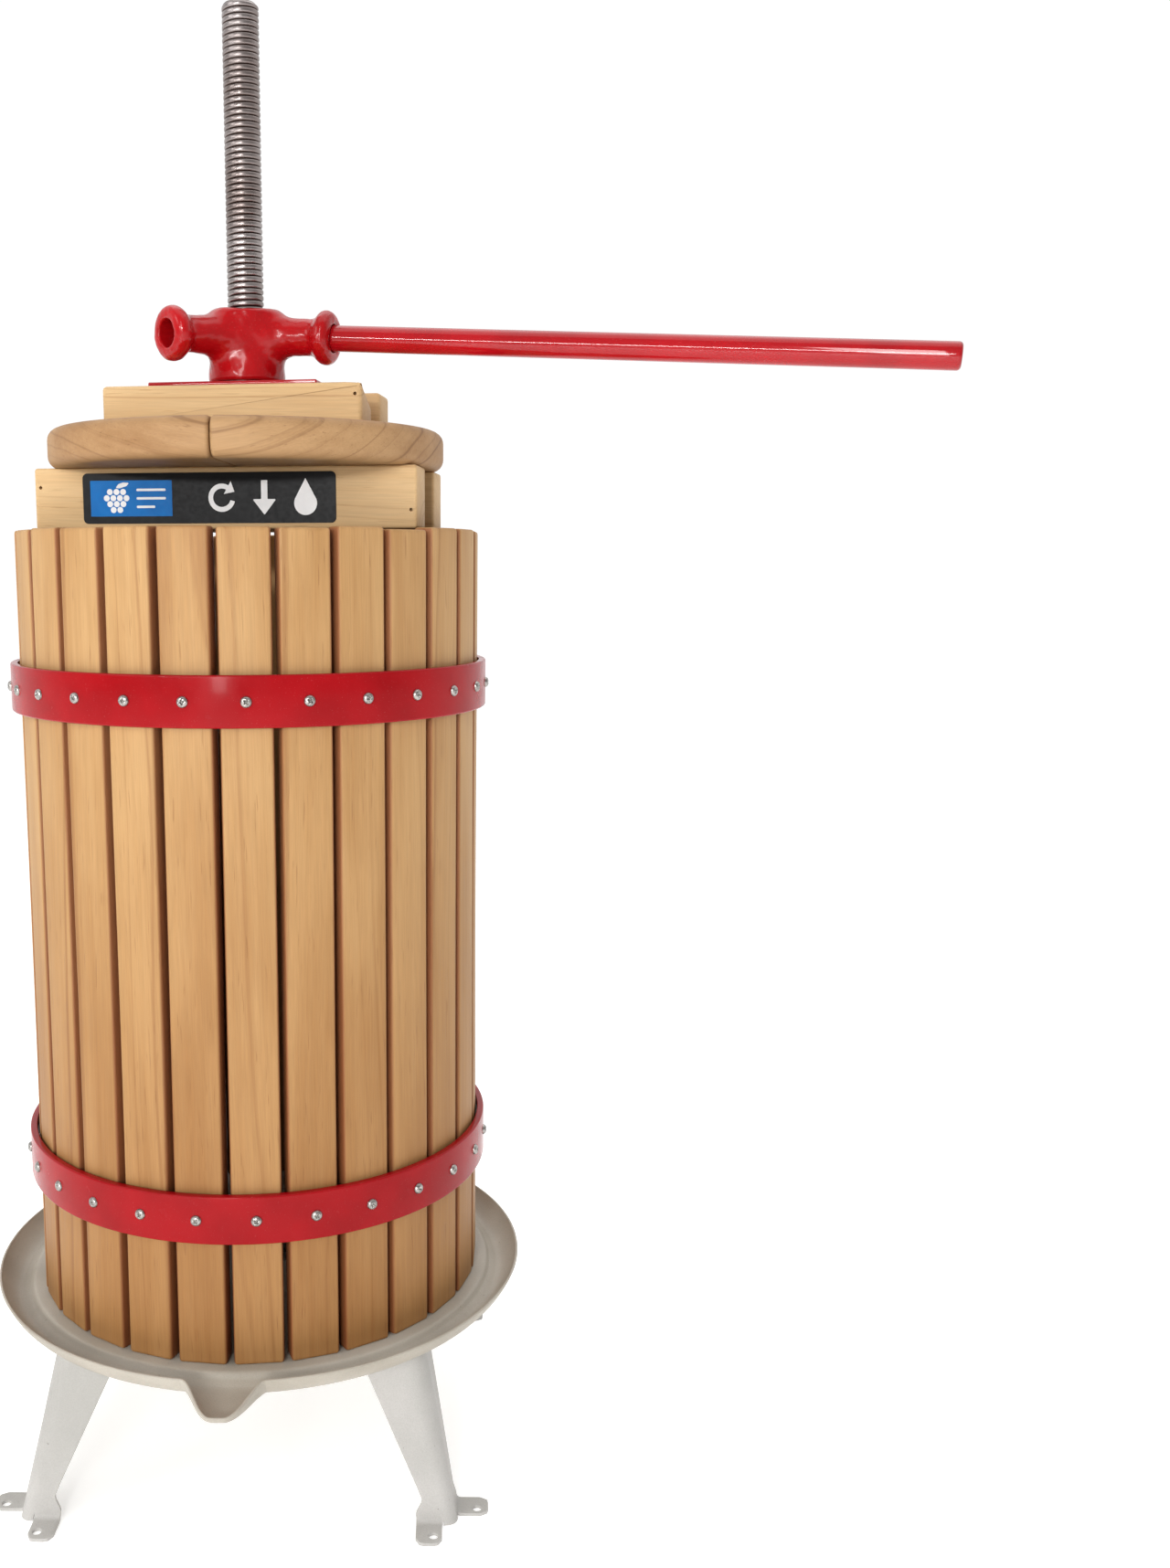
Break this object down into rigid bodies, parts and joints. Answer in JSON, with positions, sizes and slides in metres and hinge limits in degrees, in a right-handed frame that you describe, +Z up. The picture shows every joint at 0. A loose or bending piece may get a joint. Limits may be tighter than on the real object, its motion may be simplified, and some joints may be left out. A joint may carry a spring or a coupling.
{
  "type": "basket wine press",
  "caption": "Basket fruit press: slatted wooden basket with red hoops on a steel tray with legs and a spout, pressed by a lever-turned nut on a central threaded spindle.",
  "frame": {"origin": "on the spindle's axis at the floor, under the feet", "axes": "+Z up the spindle, -Y towards the tray's spout"},
  "size_m": [0.5969, 0.3806, 0.935],
  "materials": {
    "slat_wood": "oiled hardwood, straight grain along each slat",
    "block_wood": "sanded bare wood, grain along each block",
    "disc_wood": "sanded bare wood with end grain on the rim",
    "red_paint": "smooth gloss paint",
    "red_casting": "gloss paint over a sand-cast surface",
    "cream_paint": "satin off-white powder coat",
    "spindle_steel": "rolled thread, dull with bright crests",
    "zinc": "bright zinc plate",
    "label": "printed film, black with a blue field"
  },
  "bodies": {
    "base": {"tray": "cream_paint", "leg_1": "cream_paint", "leg_2": "cream_paint", "leg_3": "cream_paint", "leg_4": "cream_paint", "leg_bolts": "zinc", "leg_nuts": "zinc", "tray_stiffener": "cream_paint", "spindle": "spindle_steel", "collar_washer": "zinc", "collar_nut": "zinc", "foot_washer": "zinc", "foot_nut": "zinc", "slat_1": "slat_wood", "slat_2": "slat_wood", "slat_3": "slat_wood", "slat_4": "slat_wood", "slat_5": "slat_wood", "slat_6": "slat_wood", "slat_7": "slat_wood", "slat_8": "slat_wood", "slat_9": "slat_wood", "slat_10": "slat_wood", "slat_11": "slat_wood", "slat_12": "slat_wood", "slat_13": "slat_wood", "slat_14": "slat_wood", "slat_15": "slat_wood", "slat_16": "slat_wood", "slat_17": "slat_wood", "slat_18": "slat_wood", "slat_19": "slat_wood", "slat_20": "slat_wood", "slat_21": "slat_wood", "slat_22": "slat_wood", "slat_23": "slat_wood", "slat_24": "slat_wood", "slat_25": "slat_wood", "slat_26": "slat_wood", "slat_27": "slat_wood", "lower_hoop": "red_paint", "upper_hoop": "red_paint", "lower_hoop_screws": "zinc", "upper_hoop_screws": "zinc"},
    "press_head": {"thrust_plate": "red_paint", "thrust_ring": "zinc"},
    "press_stack": {"long_block_front": "block_wood", "long_block_rear": "block_wood", "half_disc_left": "disc_wood", "half_disc_right": "disc_wood", "short_block_front": "block_wood", "short_block_rear": "block_wood", "label_plate": "label"},
    "nut": {"press_nut": "red_casting"},
    "lever": {"lever_bar": "red_paint"}
  },
  "joints": [
    {"name": "head_slide", "type": "slide", "parent": "base", "child": "press_head", "axis": [0, 0, 1], "range_m": [-0.0888, 0.148]},
    {"name": "nut_turn", "type": "hinge", "parent": "press_head", "child": "nut", "pos_m": [0, 0, 0.73], "axis": [0, 0, 1], "range_deg": [-8640, 14400]},
    {"name": "stack_slide", "type": "slide", "parent": "press_head", "child": "press_stack", "axis": [0, 0, 1], "range_m": [-0.148, 0]},
    {"name": "lever_slide", "type": "slide", "parent": "nut", "child": "lever", "axis": [0.958, -0.2783, -0.0698], "range_m": [0, 0.05]}
  ],
  "couplings": [
    {"joint": "head_slide", "follows": "nut_turn", "m_per_rad": 0.00058887}
  ]
}
